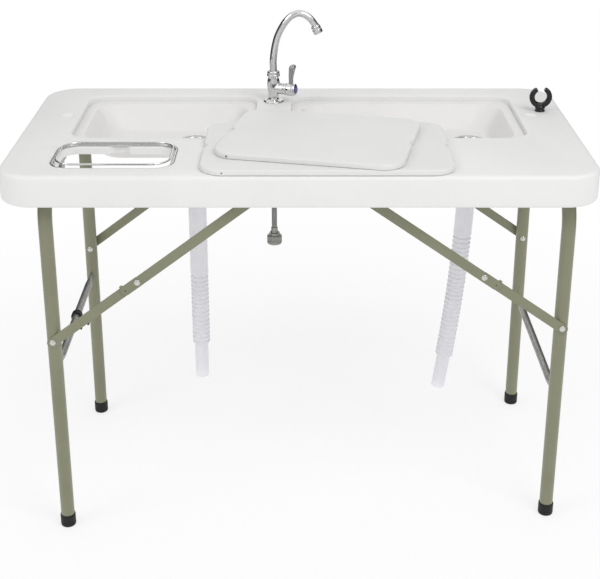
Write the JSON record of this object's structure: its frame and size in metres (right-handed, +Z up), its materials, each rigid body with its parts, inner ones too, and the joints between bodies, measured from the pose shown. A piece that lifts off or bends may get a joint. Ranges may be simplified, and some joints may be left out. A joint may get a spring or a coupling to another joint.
{
  "type": "folding fish cleaning table",
  "caption": "Folding outdoor sink table with drop-in basins, swivel tap, waste opening, rod holder, lift-off boards and fold-under tube leg frames.",
  "frame": {"origin": "on the floor under the middle of the top", "axes": "+X to the right along the top's length as the user stands at the front, +Y to the back where the tap stands, +Z up"},
  "size_m": [1.143, 0.6, 1.0059],
  "materials": {
    "top": "satin moulded white plastic",
    "basin": "satin off-white plastic",
    "board": "satin white board plastic",
    "chrome": "polished chrome",
    "steel": "bright zinc-plated steel",
    "supply": "braided steel hose",
    "leg_paint": "satin sage green-grey powder coat",
    "bar_steel": "galvanised steel",
    "black_plastic": "glossy black plastic",
    "foot_rubber": "matte black rubber",
    "blue_cap": "glossy blue-violet plastic",
    "lever": "satin grey",
    "hose": "thin translucent milky plastic"
  },
  "bodies": {
    "table": {"tabletop": "top", "left_basin": "basin", "right_basin": "basin", "left_drain": "chrome", "right_drain": "chrome", "left_drain_nut": "basin", "right_drain_nut": "basin", "left_drain_hose": "hose", "right_drain_hose": "hose", "bag_ring_lower": "chrome", "tap_body": "chrome", "tap_lock_nut": "steel", "supply_hose": "supply", "inlet_nut": "steel", "rod_holder_nut": "black_plastic", "left_front_anchor": "leg_paint", "left_back_anchor": "leg_paint", "right_front_anchor": "leg_paint", "right_back_anchor": "leg_paint", "left_front_saddle": "bar_steel", "left_back_saddle": "bar_steel", "right_front_saddle": "bar_steel", "right_back_saddle": "bar_steel"},
    "spout": {"tap_spout": "chrome", "spout_aerator": "chrome"},
    "lever": {"tap_lever": "lever", "lever_cap": "blue_cap"},
    "left_basket": {"left_strainer": "chrome"},
    "right_basket": {"right_strainer": "chrome"},
    "rod_holder": {"rod_holder_clip": "black_plastic"},
    "bag_ring": {"bag_ring_upper": "chrome"},
    "right_board": {"right_sink_board": "board"},
    "left_board": {"left_sink_board": "board"},
    "left_legs": {"left_leg_tube": "leg_paint", "left_cross_bar": "bar_steel", "left_front_foot": "foot_rubber", "left_back_foot": "foot_rubber", "left_front_leg_rivet": "steel", "left_back_leg_rivet": "steel", "storage_clip": "black_plastic"},
    "left_lower_braces": {"left_front_lower_brace": "leg_paint", "left_back_lower_brace": "leg_paint"},
    "left_upper_braces": {"left_front_upper_brace": "leg_paint", "left_back_upper_brace": "leg_paint", "left_front_knee_rivet": "steel", "left_back_knee_rivet": "steel"},
    "right_legs": {"right_leg_tube": "leg_paint", "right_cross_bar": "bar_steel", "right_front_foot": "foot_rubber", "right_back_foot": "foot_rubber", "right_front_leg_rivet": "steel", "right_back_leg_rivet": "steel"},
    "right_lower_braces": {"right_front_lower_brace": "leg_paint", "right_back_lower_brace": "leg_paint"},
    "right_upper_braces": {"right_front_upper_brace": "leg_paint", "right_back_upper_brace": "leg_paint", "right_front_knee_rivet": "steel", "right_back_knee_rivet": "steel"}
  },
  "joints": [
    {"name": "left_leg_fold", "type": "hinge", "parent": "table", "child": "left_legs", "pos_m": [-0.488, -0.02, 0.763], "axis": [0, -1, 0], "range_deg": [0, 83], "deforming": ["left_drain_hose"]},
    {"name": "left_lower_brace_swing", "type": "hinge", "parent": "left_legs", "child": "left_lower_braces", "pos_m": [-0.488, -0.02, 0.438], "axis": [0, -1, 0], "range_deg": [0, 49.1]},
    {"name": "left_upper_brace_swing", "type": "hinge", "parent": "table", "child": "left_upper_braces", "pos_m": [-0.06037, -0.02, 0.763], "axis": [0, -1, 0], "range_deg": [-37.5, 0]},
    {"name": "right_leg_fold", "type": "hinge", "parent": "table", "child": "right_legs", "pos_m": [0.528, 0.02, 0.735], "axis": [0, 1, 0], "range_deg": [0, 81], "deforming": ["right_drain_hose"]},
    {"name": "right_lower_brace_swing", "type": "hinge", "parent": "right_legs", "child": "right_lower_braces", "pos_m": [0.528, 0.02, 0.448], "axis": [0, 1, 0], "range_deg": [0, 42.3]},
    {"name": "right_upper_brace_swing", "type": "hinge", "parent": "table", "child": "right_upper_braces", "pos_m": [0.078, 0.02, 0.763], "axis": [0, 1, 0], "range_deg": [-35.3, 0]},
    {"name": "spout_swivel", "type": "hinge", "parent": "table", "child": "spout", "pos_m": [-0.057, 0.19, 0.86], "axis": [0, 0, 1], "continuous": true},
    {"name": "tap_turn", "type": "hinge", "parent": "table", "child": "lever", "pos_m": [-0.0269, 0.1791, 0.831], "axis": [0.9397, -0.342, 0], "range_deg": [0, 90]},
    {"name": "left_strainer_lift", "type": "slide", "parent": "table", "child": "left_basket", "axis": [0, 0, 1], "range_m": [0, 0.04]},
    {"name": "right_strainer_lift", "type": "slide", "parent": "table", "child": "right_basket", "axis": [0, 0, 1], "range_m": [0, 0.04]},
    {"name": "rod_holder_swivel", "type": "hinge", "parent": "table", "child": "rod_holder", "pos_m": [0.521, 0.115, 0.8], "axis": [0, 0, 1], "continuous": true},
    {"name": "bag_ring_lift", "type": "hinge", "parent": "table", "child": "bag_ring", "pos_m": [-0.3585, -0.1075, 0.8031], "axis": [-1, 0, 0], "range_deg": [0, 100]},
    {"name": "right_board_lift", "type": "slide", "parent": "table", "child": "right_board", "axis": [0, 0, 1], "range_m": [0, 0.08]},
    {"name": "left_board_lift", "type": "slide", "parent": "right_board", "child": "left_board", "axis": [0, 0, 1], "range_m": [0, 0.08]}
  ],
  "couplings": [
    {"joint": "left_lower_brace_swing", "follows": "left_leg_fold", "ratio": 0.59068},
    {"joint": "left_upper_brace_swing", "follows": "left_leg_fold", "ratio": -0.45078},
    {"joint": "right_lower_brace_swing", "follows": "right_leg_fold", "ratio": 0.52041},
    {"joint": "right_upper_brace_swing", "follows": "right_leg_fold", "ratio": -0.43402}
  ]
}
